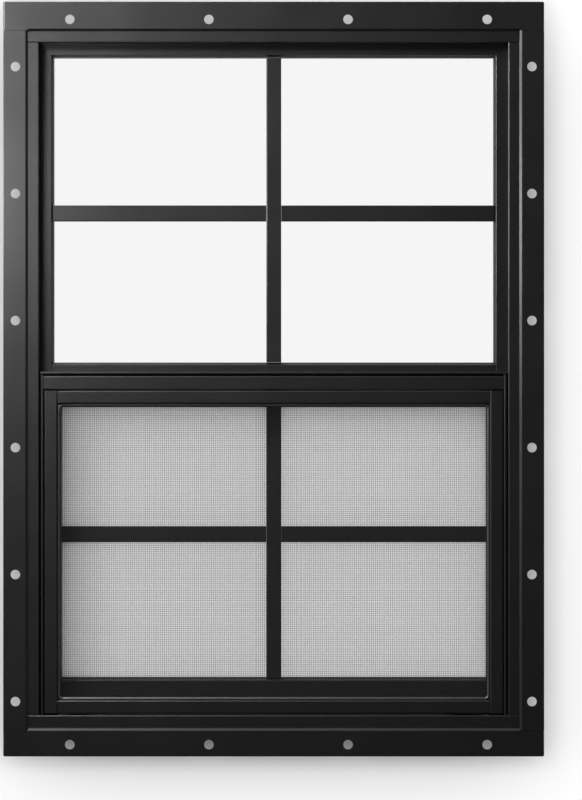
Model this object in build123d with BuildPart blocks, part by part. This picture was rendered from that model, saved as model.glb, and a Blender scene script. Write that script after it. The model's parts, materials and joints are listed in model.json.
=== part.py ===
"""Vertical sliding shed window with a nailing flange, seen from outside.

The front looks along -Y and the frame runs back into the wall along +Y.
The origin is on the back of the flange, at mid width, on the line of the sill's screw holes.
All lengths are in millimetres.
"""

import os

from build123d import *

# Overall size over the flange
WIDTH = 406.0
HEIGHT = 566.4

# Flange and its screw holes
FLANGE_THICKNESS = 1.6
HEAD_FLANGE = 20.3
SIDE_FLANGE = 16.7
SILL_FLANGE = 19.4
FLANGE_EDGE_RADIUS = 0.5
FLANGE_CORNER_RADIUS = 1.2
HEAD_FLANGE_LAP = 1.1  # the head's flange covers this much of its step where a jamb butts under it
JOINT_GAP = 0.2
JOINT_CHAMFER = 0.25
EDGE_ROUNDING = 0.4
HOLE_RADIUS = 3.6
HEAD_HOLE_INSET = 13.3
SILL_HOLE_INSET = 8.9
SIDE_HOLE_INSET = 9.2
ROW_HOLE_COUNT = 4
ROW_HOLE_LEFT = 50.0
ROW_HOLE_RIGHT = 42.8
SIDE_HOLE_COUNT = 6
SIDE_HOLE_TOP = 48.7
SIDE_HOLE_BOTTOM = 41.2

# Frame extrusion behind the flange
STEP_RUN = 1.8
STEP_DROP = 2.0
LIP_WIDTH = 8.2
SILL_LIP_WIDTH = 9.4
LIP_RADIUS = 0.7
WEB_INSET = 0.2
WALL = 1.4
FRONT_BOX_DEPTH = 9.0
FIXED_TRACK = 10.6
SLIDING_TRACK = 13.2
SILL_MIDDLE_LEG = 3.2
SILL_REAR_LEG = 6.2

# Sash bars, upper fixed sash first
BAR_WALL = 1.2
BEAD_RUN = 1.2
GASKET_REVEAL = 0.7
GLASS_THICKNESS = 3.0
GLASS_BITE = 5.4
GLASS_EDGE_GAP = 0.8
GASKET_THICKNESS = 1.3
FIXED_BAR_WIDTH = 15.4
FIXED_BAR_DEPTH = 10.0
FIXED_LIP_THICKNESS = 2.1
FIXED_EDGE_GAP = 1.6
FIXED_FRONT_GAP = 0.4
MITRE_GAP = 0.2

# Meeting rail with its drip lip, and the header under it
MEETING_RAIL_SHARE = 0.4917  # height of the meeting rail's foot as a share of the window's
MEETING_RAIL_BOTTOM = MEETING_RAIL_SHARE * HEIGHT
DRIP_LIP_DROP = 5.2
DRIP_LIP_THICKNESS = 1.6
DRIP_LIP_FRONT = 1.4
DRIP_LIP_END_GAP = 0.6
HEADER_GAP = 1.5
HEADER_HEIGHT = 10.4
HEADER_FRONT = 2.2

# Lower sliding sash
SLIDING_STILE_WIDTH = 20.0
SLIDING_TOP_WIDTH = 19.6
SLIDING_BOTTOM_WIDTH = 24.3
SLIDING_TOP_ABOVE_MEETING_RAIL = 16.9
SLIDING_SIDE_GAP = 1.9
SLIDING_FACE_GAP = 0.5
SLIDING_SEAT_GAP = 0.3
SLIDING_LIP_THICKNESS = 3.2
LIFT_REACH = 7.4
LIFT_THICKNESS = 1.6
LIFT_HEIGHT = 17.0
LIFT_NOSE = 3.0
LATCH_LENGTH = 34.0
LATCH_HEIGHT = 9.0
LATCH_THICKNESS = 3.0
LATCH_END_GAP = 6.0
LATCH_BUTTON = 9.0
LATCH_BUTTON_RISE = 2.4

# Muntins on the face of each pane
VERTICAL_MUNTIN = 11.2
HORIZONTAL_MUNTIN = 12.1
MUNTIN_THICKNESS = 2.6
MUNTIN_PROUD = 0.4
MUNTIN_CHAMFER = 0.7
MUNTIN_END_GAP = 0.1
UPPER_MUNTIN_SHARE = 0.511  # drop of the upper crossbars as a share of their pane's height
LOWER_MUNTIN_SHARE = 0.501  # rise of the lower crossbars as a share of their pane's height

# Screen tracks and screen
TRACK_RIB_GAP = 1.4
TRACK_RIB_THICKNESS = 1.7
TRACK_RIB_FRONT = 1.8
TRACK_SEAT_WIDTH = 9.3
TRACK_FIT = 0.1
SCREEN_SIDE_GAP = 0.9
SCREEN_TOP_GAP = 0.7
SCREEN_SILL_GAP = 1.5
SILL_RIB_SETBACK = 0.9
SILL_RIB_THICKNESS = 3.0
SILL_RIB_GAP = 0.2
SCREEN_FRONT = 2.4
SCREEN_BAR = 9.6
SCREEN_EDGE_RADIUS = 0.9
SCREEN_WALL = 1.0
LEDGE_WIDTH = 2.9
LEDGE_DROP = 3.2
LEDGE_THICKNESS = 2.6
SCREEN_DEPTH = 6.9
SPLINE_RADIUS = 1.15
SPLINE_INSET = 1.1
SPLINE_CREST_DROP = 1.65
SPLINE_CORNER_RADIUS = 3.0
SPLINE_GROOVE_FIT = 0.05
CORD_ROUNDNESS = 0.95
MESH_THICKNESS = 0.3
SPRING_LENGTH = 33.0
SPRING_END_INSET = 10.3
SPRING_STRIP = 0.4
SPRING_DEPTH = 4.6
SPRING_FIT = 0.1

# Places worked out from the sizes
Z_BOTTOM = -SILL_HOLE_INSET
Z_TOP = Z_BOTTOM + HEIGHT
FLANGE_FRONT = -FLANGE_THICKNESS
LIP_FRONT = FLANGE_FRONT + STEP_DROP
BOX_BACK = LIP_FRONT + FRONT_BOX_DEPTH
MIDDLE_FIN_FRONT = BOX_BACK + FIXED_TRACK
MIDDLE_FIN_BACK = MIDDLE_FIN_FRONT + WALL
REAR_FIN_FRONT = MIDDLE_FIN_BACK + SLIDING_TRACK
FRAME_BACK = REAR_FIN_FRONT + WALL

FLANGES = {"left": SIDE_FLANGE, "right": SIDE_FLANGE, "top": HEAD_FLANGE, "bottom": SILL_FLANGE}
WEB_OUTER = {side: flange + WEB_INSET for side, flange in FLANGES.items()}
WEB_INNER = {side: outer + WALL for side, outer in WEB_OUTER.items()}
LIP_WIDTHS = {"left": LIP_WIDTH, "right": LIP_WIDTH, "top": LIP_WIDTH, "bottom": SILL_LIP_WIDTH}
LIP_EDGE = {side: flange + STEP_RUN + LIP_WIDTHS[side] for side, flange in FLANGES.items()}

# Distances inward from the window's outer edge on each side
MEETING_FACE_EDGE = MEETING_RAIL_BOTTOM + FIXED_BAR_WIDTH
FIXED_START = {side: WEB_INNER[side] + FIXED_EDGE_GAP for side in ("left", "right", "top")}
FIXED_START["bottom"] = MEETING_RAIL_BOTTOM
FIXED_WIDTHS = {side: FIXED_BAR_WIDTH for side in FIXED_START}
SLIDING_START = {
    "left": SLIDING_SIDE_GAP + WEB_INNER["left"],
    "right": SLIDING_SIDE_GAP + WEB_INNER["right"],
    "top": HEIGHT - MEETING_RAIL_BOTTOM - SLIDING_TOP_ABOVE_MEETING_RAIL,
    "bottom": LIP_EDGE["bottom"] + SLIDING_SEAT_GAP,
}
SLIDING_WIDTHS = {
    "left": SLIDING_STILE_WIDTH,
    "right": SLIDING_STILE_WIDTH,
    "top": SLIDING_TOP_WIDTH,
    "bottom": SLIDING_BOTTOM_WIDTH,
}
RIB_START = LIP_EDGE["left"] + TRACK_RIB_GAP
RIB_END = RIB_START + TRACK_RIB_THICKNESS
DRIP_LIP_TOP = MEETING_FACE_EDGE - DRIP_LIP_DROP
DRIP_LIP_BOTTOM = DRIP_LIP_TOP - DRIP_LIP_THICKNESS
HEADER_TOP = DRIP_LIP_BOTTOM - HEADER_GAP
HEADER_BOTTOM = HEADER_TOP - HEADER_HEIGHT
SCREEN_START = {
    "left": RIB_END + SCREEN_SIDE_GAP,
    "right": RIB_END + SCREEN_SIDE_GAP,
    "top": HEIGHT - HEADER_BOTTOM + SCREEN_TOP_GAP,
    "bottom": LIP_EDGE["bottom"] + SCREEN_SILL_GAP,
}

# Depths of the panes and of the screen
FIXED_FRONT = BOX_BACK + FIXED_FRONT_GAP
FIXED_BACK = FIXED_FRONT + FIXED_BAR_DEPTH
FIXED_GLASS_FRONT = FIXED_FRONT + FIXED_LIP_THICKNESS + GASKET_THICKNESS
SLIDING_FRONT = MIDDLE_FIN_BACK + SLIDING_FACE_GAP
SLIDING_BACK = REAR_FIN_FRONT - SLIDING_FACE_GAP
SLIDING_GLASS_FRONT = SLIDING_FRONT + SLIDING_LIP_THICKNESS + GASKET_THICKNESS
SEAT_FRONT = BOX_BACK + TRACK_FIT
SCREEN_BACK = SCREEN_FRONT + SCREEN_DEPTH
LEDGE_FRONT = SCREEN_FRONT + LEDGE_DROP
SPLINE_DEPTH = SCREEN_FRONT + SPLINE_CREST_DROP + SPLINE_RADIUS


def export(builder, name):
    """Label a finished piece and write it to its own file."""
    builder.part.label = name
    os.makedirs("parts", exist_ok=True)
    export_step(builder.part, f"parts/{name}.step")


def height_of(distance, side):
    """Height of a line that lies this far inward from the window's top or bottom edge."""
    return Z_TOP - distance if side == "top" else Z_BOTTOM + distance


def section_plane(side, middle=0.0):
    """Plane across a member: local x runs inward from the window's outer edge, local y into the wall."""
    if side == "left":
        return Plane(origin=(-WIDTH / 2, 0, middle), x_dir=(1, 0, 0), z_dir=(0, 0, 1))
    if side == "right":
        return Plane(origin=(WIDTH / 2, 0, middle), x_dir=(-1, 0, 0), z_dir=(0, 0, -1))
    if side == "top":
        return Plane(origin=(middle, 0, Z_TOP), x_dir=(0, 0, -1), z_dir=(1, 0, 0))
    return Plane(origin=(middle, 0, Z_BOTTOM), x_dir=(0, 0, 1), z_dir=(-1, 0, 0))


def front_plane(depth):
    """Upright plane at this depth that faces the front: local x runs right, local y up."""
    return Plane(origin=(0, depth, 0), x_dir=(1, 0, 0), z_dir=(0, -1, 0))


def corner_near(section, x, y):
    """Vertex of a section that lies nearest to a local point."""
    return section.vertices().sort_by_distance((x, y, 0))[0]


def rectangle_between(low_x, low_y, high_x, high_y, mode=Mode.ADD):
    """Rectangle between two local corners of the sketch in hand."""
    with Locations(((low_x + high_x) / 2, (low_y + high_y) / 2)):
        Rectangle(high_x - low_x, high_y - low_y, mode=mode)


def block_between(low, high, mode=Mode.ADD):
    """Block between two corners of the part in hand."""
    middle = [(a + b) / 2 for a, b in zip(low, high)]
    with Locations(tuple(middle)):
        Box(*[b - a for a, b in zip(low, high)], mode=mode)


def flange_section(side, slope=0.0, middle=0.0):
    """Flat strip of the flange with its eased outer edge and, if wanted, the slope of its step."""
    flange = FLANGES[side]
    with BuildSketch(section_plane(side, middle)) as section:
        with BuildLine():
            Polyline((0, FLANGE_FRONT), (flange, FLANGE_FRONT), (flange + slope, 0), (0, 0), close=True)
        make_face()
        fillet(corner_near(section, 0, FLANGE_FRONT), FLANGE_EDGE_RADIUS)
    return section.sketch


def frame_section(side, middle=0.0):
    """Flange, step, hollow front box and the web that carries the middle and rear fins."""
    flange, web_outer, web_inner, edge = FLANGES[side], WEB_OUTER[side], WEB_INNER[side], LIP_EDGE[side]
    on_sill = side == "bottom"
    seat = edge if on_sill else web_inner
    middle_tip = edge + (SILL_MIDDLE_LEG if on_sill else 0)
    rear_tip = edge + (SILL_REAR_LEG if on_sill else 0)
    with BuildSketch(section_plane(side, middle)) as section:
        with BuildLine():
            Polyline(
                (0, FLANGE_FRONT),
                (flange, FLANGE_FRONT),
                (flange + STEP_RUN, LIP_FRONT),
                (edge, LIP_FRONT),
                (edge, BOX_BACK),
                (web_inner, BOX_BACK),
                (web_inner, MIDDLE_FIN_FRONT),
                (middle_tip, MIDDLE_FIN_FRONT),
                (middle_tip, MIDDLE_FIN_BACK),
                (seat, MIDDLE_FIN_BACK),
                (seat, REAR_FIN_FRONT),
                (rear_tip, REAR_FIN_FRONT),
                (rear_tip, FRAME_BACK),
                (web_outer, FRAME_BACK),
                (web_outer, 0),
                (0, 0),
                close=True,
            )
        make_face()
        fillet(corner_near(section, edge, LIP_FRONT), LIP_RADIUS)
        fillet(corner_near(section, 0, FLANGE_FRONT), FLANGE_EDGE_RADIUS)
        rectangle_between(web_inner, LIP_FRONT + WALL, edge - WALL, BOX_BACK - WALL, mode=Mode.SUBTRACT)
        if on_sill:
            rectangle_between(
                web_inner, MIDDLE_FIN_BACK, edge - WALL, REAR_FIN_FRONT, mode=Mode.SUBTRACT
            )
    return section.sketch


def bar_section(side, start, width, front, back, lip, middle=0.0):
    """Hollow sash bar with a glazing pocket on its inner side and sloped beads at the pocket's mouth."""
    face_edge = start + width
    bead_edge = face_edge + BEAD_RUN
    pocket = bead_edge + GASKET_REVEAL - GLASS_BITE - GLASS_EDGE_GAP
    with BuildSketch(section_plane(side, middle)) as section:
        with BuildLine():
            Polyline(
                (start, front),
                (face_edge, front),
                (bead_edge, front + lip),
                (pocket, front + lip),
                (pocket, back - BAR_WALL),
                (bead_edge, back - BAR_WALL),
                (face_edge, back),
                (start, back),
                close=True,
            )
        make_face()
        fillet(corner_near(section, face_edge, front), EDGE_ROUNDING)
        rectangle_between(
            start + BAR_WALL, front + BAR_WALL, pocket - BAR_WALL, back - BAR_WALL, mode=Mode.SUBTRACT
        )
    return section.sketch


def daylight(starts, widths):
    """Inward distance on each side at which the clear glass begins."""
    return {side: starts[side] + widths[side] + BEAD_RUN + GASKET_REVEAL for side in starts}


def rectangle_inside(distances, mode=Mode.ADD, corner_radius=0.0):
    """Upright rectangle that lies the given distances inward from the window's four edges."""
    left, right = distances["left"] - WIDTH / 2, WIDTH / 2 - distances["right"]
    top, bottom = height_of(distances["top"], "top"), height_of(distances["bottom"], "bottom")
    with Locations(((left + right) / 2, (top + bottom) / 2)):
        if corner_radius:
            RectangleRounded(right - left, top - bottom, corner_radius, mode=mode)
        else:
            Rectangle(right - left, top - bottom, mode=mode)


def offset_inward(distances, amount):
    """The same four distances, each moved inward by an amount."""
    return {side: value + amount for side, value in distances.items()}


FIXED_DAYLIGHT = daylight(FIXED_START, FIXED_WIDTHS)
SLIDING_DAYLIGHT = daylight(SLIDING_START, SLIDING_WIDTHS)
INNER_HALF_SPAN = WIDTH / 2 - WEB_INNER["left"] - JOINT_GAP / 2
WEB_HALF_SPAN = WIDTH / 2 - WEB_OUTER["left"]
SILL_RIB_HALF_SPAN = WIDTH / 2 - SCREEN_START["left"] - SPRING_END_INSET - SPRING_LENGTH - SILL_RIB_GAP
ROW_HOLE_PITCH = (WIDTH - ROW_HOLE_LEFT - ROW_HOLE_RIGHT) / (ROW_HOLE_COUNT - 1)
SIDE_HOLE_PITCH = (HEIGHT - SIDE_HOLE_TOP - SIDE_HOLE_BOTTOM) / (SIDE_HOLE_COUNT - 1)
ROW_HOLES = [ROW_HOLE_LEFT - WIDTH / 2 + index * ROW_HOLE_PITCH for index in range(ROW_HOLE_COUNT)]
SIDE_HOLES = [height_of(SIDE_HOLE_TOP + index * SIDE_HOLE_PITCH, "top") for index in range(SIDE_HOLE_COUNT)]

# Head and sill: the flange runs the whole width, the rest fits between the jamb webs.
# A low rib on the sill closes the joint under the screen between the two leaf springs.
FLANGE_LAPS = {"top": HEAD_FLANGE_LAP, "bottom": 0}
HOLE_INSETS = {"top": HEAD_HOLE_INSET, "bottom": SILL_HOLE_INSET}
for side, name in (("top", "head"), ("bottom", "sill")):
    lap_end = height_of(FLANGES[side] + FLANGE_LAPS[side], side)
    web_faces = sorted((height_of(WEB_OUTER[side], side), height_of(WEB_INNER[side], side)))
    with BuildPart() as rail:
        extrude(frame_section(side), amount=INNER_HALF_SPAN, both=True)
        extrude(flange_section(side), amount=WIDTH / 2, both=True)
        for end in (-1, 1):
            inner, outer = sorted((end * INNER_HALF_SPAN, end * WIDTH / 2))
            low, high = sorted((lap_end, height_of(FLANGES[side] / 2, side)))
            block_between((inner, FLANGE_FRONT, low), (outer, 0, high))
        block_between((-WEB_HALF_SPAN, 0, web_faces[0]), (WEB_HALF_SPAN, FRAME_BACK, web_faces[1]))
        outer_corners = rail.edges().filter_by(Axis.Y).group_by(Axis.Z)[-1 if side == "top" else 0]
        fillet(outer_corners, FLANGE_CORNER_RADIUS)
        if side == "bottom":
            rib_front, rib_foot = LIP_FRONT + SILL_RIB_SETBACK, height_of(LIP_EDGE[side], side)
            rib_back, rib_crest = rib_front + SILL_RIB_THICKNESS, rib_foot + SCREEN_SILL_GAP - SILL_RIB_GAP
            block_between(
                (-SILL_RIB_HALF_SPAN, rib_front, rib_foot), (SILL_RIB_HALF_SPAN, rib_back, rib_crest)
            )
        with BuildSketch(front_plane(FLANGE_FRONT)):
            with Locations(*[(x, height_of(HOLE_INSETS[side], side)) for x in ROW_HOLES]):
                Circle(HOLE_RADIUS)
        extrude(amount=-FLANGE_THICKNESS, mode=Mode.SUBTRACT)
    export(rail, name)

# Jambs: the webs stand between the head's and the sill's, the lips and fins stop at theirs
STEP_SLOPE = STEP_RUN * FLANGE_THICKNESS / STEP_DROP
for side, name in (("left", "left_jamb"), ("right", "right_jamb")):
    hand = -1 if side == "left" else 1
    low = height_of(WEB_INNER["bottom"] + JOINT_GAP, "bottom")
    high = height_of(WEB_INNER["top"] + JOINT_GAP, "top")
    flange_low = height_of(SILL_FLANGE, "bottom")
    flange_high = height_of(HEAD_FLANGE + HEAD_FLANGE_LAP, "top")
    web_face, inside = sorted((hand * (WIDTH / 2 - WEB_INNER[side]), hand * WIDTH / 4))
    with BuildPart() as jamb:
        extrude(frame_section(side, (low + high) / 2), amount=(high - low) / 2, both=True)
        extrude(
            flange_section(side, STEP_SLOPE, (flange_low + flange_high) / 2),
            amount=(flange_high - flange_low) / 2,
            both=True,
        )
        for end, start, leg in (
            ("top", FLANGE_FRONT, 0),
            ("bottom", FLANGE_FRONT, 0),
            ("bottom", BOX_BACK, SILL_REAR_LEG),
        ):
            cut = sorted((height_of(0, end), height_of(LIP_EDGE[end] + leg + JOINT_GAP, end)))
            block_between((web_face, start, cut[0]), (inside, FRAME_BACK, cut[1]), mode=Mode.SUBTRACT)
        with BuildSketch(front_plane(FLANGE_FRONT)):
            with Locations(*[(hand * (WIDTH / 2 - SIDE_HOLE_INSET), z) for z in SIDE_HOLES]):
                Circle(HOLE_RADIUS)
        extrude(amount=-FLANGE_THICKNESS, mode=Mode.SUBTRACT)
        front_edges = jamb.edges().filter_by(Axis.X).group_by(Axis.Y)[0]
        chamfer(front_edges.group_by(Axis.Z)[0] + front_edges.group_by(Axis.Z)[-1], JOINT_CHAMFER)
    export(jamb, name)


def clear_inner_side(side, face_edge, reach, front, back, spans):
    """Take the bead or ledge off a stile's inner side along each height span a rail butts against."""
    hand = -1 if side == "left" else 1
    near, far = sorted((hand * (WIDTH / 2 - face_edge), hand * (WIDTH / 2 - face_edge - reach)))
    for low, high in spans:
        block_between((near, front, low), (far, back, high), mode=Mode.SUBTRACT)


# Upper fixed sash: mitred at the top, its stiles stand on the screen tracks
top_start, bead_reach = FIXED_START["top"], FIXED_BAR_WIDTH + BEAD_RUN
corner = (WIDTH / 2 - FIXED_START["left"], height_of(top_start, "top"))
with BuildSketch(front_plane(FIXED_FRONT)) as mitred_rail:
    with BuildLine():
        Polyline(
            (-corner[0] + MITRE_GAP, corner[1]),
            (corner[0] - MITRE_GAP, corner[1]),
            (corner[0] - bead_reach - MITRE_GAP, corner[1] - bead_reach),
            (-corner[0] + bead_reach + MITRE_GAP, corner[1] - bead_reach),
            close=True,
        )
    make_face()
with BuildPart() as top_rail:
    extrude(
        bar_section("top", top_start, FIXED_BAR_WIDTH, FIXED_FRONT, FIXED_BACK, FIXED_LIP_THICKNESS),
        amount=WIDTH / 2,
        both=True,
    )
    extrude(mitred_rail.sketch, amount=-FIXED_BAR_DEPTH, mode=Mode.INTERSECT)
export(top_rail, "fixed_sash_top_rail")

stile_foot = height_of(MEETING_RAIL_BOTTOM, "bottom")
for side in ("left", "right"):
    hand = -1 if side == "left" else 1
    with BuildSketch(front_plane(FIXED_FRONT)) as mitred_stile:
        with BuildLine():
            Polyline(
                (hand * corner[0], stile_foot),
                (hand * corner[0], corner[1]),
                (hand * (corner[0] - bead_reach), corner[1] - bead_reach),
                (hand * (corner[0] - bead_reach), stile_foot),
                close=True,
            )
        make_face()
    with BuildPart() as stile:
        extrude(
            bar_section(
                side, FIXED_START[side], FIXED_BAR_WIDTH, FIXED_FRONT, FIXED_BACK, FIXED_LIP_THICKNESS
            ),
            amount=2 * HEIGHT,
            both=True,
        )
        extrude(mitred_stile.sketch, amount=-FIXED_BAR_DEPTH, mode=Mode.INTERSECT)
        clear_inner_side(
            side,
            FIXED_START[side] + FIXED_BAR_WIDTH,
            BEAD_RUN,
            FIXED_FRONT,
            FIXED_BACK,
            [(stile_foot, height_of(MEETING_FACE_EDGE + BEAD_RUN, "bottom"))],
        )
    export(stile, f"fixed_sash_{side}_stile")

# Meeting rail between the fixed stiles, with the drip lip that runs on in front of them
lip_low, lip_high = height_of(DRIP_LIP_BOTTOM, "bottom"), height_of(DRIP_LIP_TOP, "bottom")
lip_half = WIDTH / 2 - LIP_EDGE["left"] - DRIP_LIP_END_GAP
rail_half = WIDTH / 2 - FIXED_START["left"] - FIXED_BAR_WIDTH - JOINT_GAP
with BuildPart() as meeting_rail:
    extrude(
        bar_section(
            "bottom", MEETING_RAIL_BOTTOM, FIXED_BAR_WIDTH, FIXED_FRONT, FIXED_BACK, FIXED_LIP_THICKNESS
        ),
        amount=rail_half,
        both=True,
    )
    block_between((-lip_half, DRIP_LIP_FRONT, lip_low), (lip_half, FIXED_FRONT - TRACK_FIT, lip_high))
    block_between((-rail_half, BOX_BACK, lip_low), (rail_half, FIXED_FRONT + BAR_WALL / 2, lip_high))
    fillet(meeting_rail.edges().filter_by(Axis.X).group_by(Axis.Y)[0], EDGE_ROUNDING)
export(meeting_rail, "meeting_rail")

# Header over the screen, a hollow bar between the track ribs
header_low, header_high = height_of(HEADER_BOTTOM, "bottom"), height_of(HEADER_TOP, "bottom")
with BuildPart() as header:
    with BuildSketch(section_plane("bottom")):
        rectangle_between(HEADER_BOTTOM, HEADER_FRONT, HEADER_TOP, BOX_BACK)
        rectangle_between(
            HEADER_BOTTOM + BAR_WALL,
            HEADER_FRONT + BAR_WALL,
            HEADER_TOP - BAR_WALL,
            BOX_BACK - BAR_WALL,
            mode=Mode.SUBTRACT,
        )
    extrude(amount=WIDTH / 2 - RIB_END - JOINT_GAP, both=True)
    fillet(header.edges().filter_by(Axis.X).group_by(Axis.Y)[0], SCREEN_EDGE_RADIUS)
export(header, "screen_header")

# Lower sliding sash: rails between full-height stiles
sash_low, sash_high = height_of(SLIDING_START["bottom"], "bottom"), height_of(SLIDING_START["top"], "top")
bottom_inner = height_of(SLIDING_START["bottom"] + SLIDING_BOTTOM_WIDTH + BEAD_RUN, "bottom")
top_inner = height_of(SLIDING_START["top"] + SLIDING_TOP_WIDTH + BEAD_RUN, "top")
for side in ("left", "right"):
    with BuildPart() as stile:
        extrude(
            bar_section(
                side,
                SLIDING_START[side],
                SLIDING_STILE_WIDTH,
                SLIDING_FRONT,
                SLIDING_BACK,
                SLIDING_LIP_THICKNESS,
                (sash_low + sash_high) / 2,
            ),
            amount=(sash_high - sash_low) / 2,
            both=True,
        )
        clear_inner_side(
            side,
            SLIDING_START[side] + SLIDING_STILE_WIDTH,
            BEAD_RUN,
            SLIDING_FRONT,
            SLIDING_BACK,
            [(sash_low, bottom_inner), (top_inner, sash_high)],
        )
    export(stile, f"sliding_sash_{side}_stile")

sliding_rail_half = WIDTH / 2 - SLIDING_START["left"] - SLIDING_STILE_WIDTH - JOINT_GAP
for side in ("top", "bottom"):
    with BuildPart() as rail:
        extrude(
            bar_section(
                side,
                SLIDING_START[side],
                SLIDING_WIDTHS[side],
                SLIDING_FRONT,
                SLIDING_BACK,
                SLIDING_LIP_THICKNESS,
            ),
            amount=sliding_rail_half,
            both=True,
        )
        if side == "bottom":
            lift = sash_low + LIFT_HEIGHT
            nose = SLIDING_BACK + LIFT_REACH
            block_between(
                (-sliding_rail_half, SLIDING_BACK - BAR_WALL / 2, lift),
                (sliding_rail_half, nose, lift + LIFT_THICKNESS),
            )
            block_between(
                (-sliding_rail_half, nose - LIFT_THICKNESS, lift),
                (sliding_rail_half, nose, lift + LIFT_NOSE),
            )
    export(rail, f"sliding_sash_{side}_rail")

# Slide latches on the room side of the sliding sash's top rail
latch_middle = sash_high - SLIDING_TOP_WIDTH / 2
for side, hand in (("left", -1), ("right", 1)):
    latch_x = hand * (WIDTH / 2 - LIP_EDGE[side] - LATCH_END_GAP - LATCH_LENGTH / 2)
    with BuildPart() as latch:
        with Locations((latch_x, SLIDING_BACK + LATCH_THICKNESS / 2, latch_middle)):
            Box(LATCH_LENGTH, LATCH_THICKNESS, LATCH_HEIGHT)
        fillet(latch.edges().filter_by(Axis.Y), LATCH_HEIGHT / 4)
        with BuildSketch(Plane.XZ.offset(-SLIDING_BACK - LATCH_THICKNESS)):
            with Locations((latch_x, latch_middle)):
                RectangleRounded(LATCH_BUTTON, LATCH_HEIGHT - LATCH_BUTTON_RISE, LATCH_BUTTON_RISE / 2)
        extrude(amount=-LATCH_BUTTON_RISE)
    export(latch, f"{side}_latch")

# Panes and the rubber channels that hold them
PANES = (
    ("upper", FIXED_DAYLIGHT, FIXED_GLASS_FRONT, FIXED_FRONT + FIXED_LIP_THICKNESS, FIXED_BACK - BAR_WALL),
    (
        "lower",
        SLIDING_DAYLIGHT,
        SLIDING_GLASS_FRONT,
        SLIDING_FRONT + SLIDING_LIP_THICKNESS,
        SLIDING_BACK - BAR_WALL,
    ),
)
for name, opening, glass_front, pocket_front, pocket_back in PANES:
    glass_edges = offset_inward(opening, -GLASS_BITE)
    with BuildPart() as glass:
        with BuildSketch(front_plane(glass_front)):
            rectangle_inside(glass_edges)
        extrude(amount=-GLASS_THICKNESS)
    export(glass, f"{name}_glass")
    with BuildPart() as gasket:
        with BuildSketch(front_plane(pocket_front)):
            rectangle_inside(offset_inward(glass_edges, -GLASS_EDGE_GAP))
            rectangle_inside(opening, mode=Mode.SUBTRACT)
        extrude(amount=pocket_front - pocket_back)
        with BuildSketch(front_plane(glass_front)):
            rectangle_inside(glass_edges)
        extrude(amount=-GLASS_THICKNESS, mode=Mode.SUBTRACT)
    export(gasket, f"{name}_glazing_channel")

# Muntins on the face of each pane: the upright is whole, the crossbars butt against it
for name, opening, face, share in (
    ("upper", FIXED_DAYLIGHT, FIXED_GLASS_FRONT, 1 - UPPER_MUNTIN_SHARE),
    ("lower", SLIDING_DAYLIGHT, SLIDING_GLASS_FRONT, LOWER_MUNTIN_SHARE),
):
    low, high = height_of(opening["bottom"], "bottom"), height_of(opening["top"], "top")
    cross_height = low + share * (high - low)
    low, high = low + MUNTIN_END_GAP, high - MUNTIN_END_GAP
    upright_front = face - MUNTIN_THICKNESS - MUNTIN_PROUD
    with BuildPart() as upright:
        block_between((-VERTICAL_MUNTIN / 2, upright_front, low), (VERTICAL_MUNTIN / 2, face, high))
        chamfer(upright.edges().filter_by(Axis.Z).group_by(Axis.Y)[0], MUNTIN_CHAMFER)
    export(upright, f"{name}_upright_muntin")
    near, far = VERTICAL_MUNTIN / 2 + MUNTIN_END_GAP, WIDTH / 2 - opening["left"] - MUNTIN_END_GAP
    for side, x_low, x_high in (("left", -far, -near), ("right", near, far)):
        with BuildPart() as crossbar:
            block_between(
                (x_low, face - MUNTIN_THICKNESS, cross_height - HORIZONTAL_MUNTIN / 2),
                (x_high, face, cross_height + HORIZONTAL_MUNTIN / 2),
            )
            chamfer(crossbar.edges().filter_by(Axis.X).group_by(Axis.Y)[0], MUNTIN_CHAMFER)
        export(crossbar, f"{name}_{side}_crossbar")

# Screen tracks: side ribs with a seat behind them, and a seat strip along the sill
seat_inner = RIB_START + TRACK_SEAT_WIDTH
seat_back = SEAT_FRONT + BAR_WALL
seat_low = height_of(WEB_INNER["bottom"] + TRACK_FIT, "bottom")
seat_high = height_of(MEETING_RAIL_BOTTOM - TRACK_FIT, "bottom")
rib_low = height_of(LIP_EDGE["bottom"] + JOINT_GAP, "bottom")
for side, hand in (("left", -1), ("right", 1)):
    seat_x = sorted((hand * (WIDTH / 2 - WEB_INNER[side] - TRACK_FIT), hand * (WIDTH / 2 - seat_inner)))
    rib_x = sorted((hand * (WIDTH / 2 - RIB_START), hand * (WIDTH / 2 - RIB_END)))
    with BuildPart() as track:
        block_between((seat_x[0], SEAT_FRONT, seat_low), (seat_x[1], seat_back, seat_high))
        block_between((rib_x[0], TRACK_RIB_FRONT, rib_low), (rib_x[1], SEAT_FRONT, lip_low - JOINT_GAP))
        fillet(track.edges().filter_by(Axis.Z).group_by(Axis.Y)[0], TRACK_RIB_THICKNESS / 4)
    export(track, f"{side}_screen_track")
seat_half = WIDTH / 2 - seat_inner - JOINT_GAP
with BuildPart() as seat:
    block_between(
        (-seat_half, SEAT_FRONT, seat_low),
        (seat_half, seat_back, height_of(LIP_EDGE["bottom"] + TRACK_SEAT_WIDTH, "bottom")),
    )
export(seat, "sill_screen_seat")

# Screen: rolled bars with a grooved ledge, the mesh on it and the rubber spline that holds it
spline_line = offset_inward(SCREEN_START, SCREEN_BAR + SPLINE_INSET)
left, bottom = spline_line["left"] - WIDTH / 2, height_of(spline_line["bottom"], "bottom")
right, top = WIDTH / 2 - spline_line["right"], height_of(spline_line["top"], "top")


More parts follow.
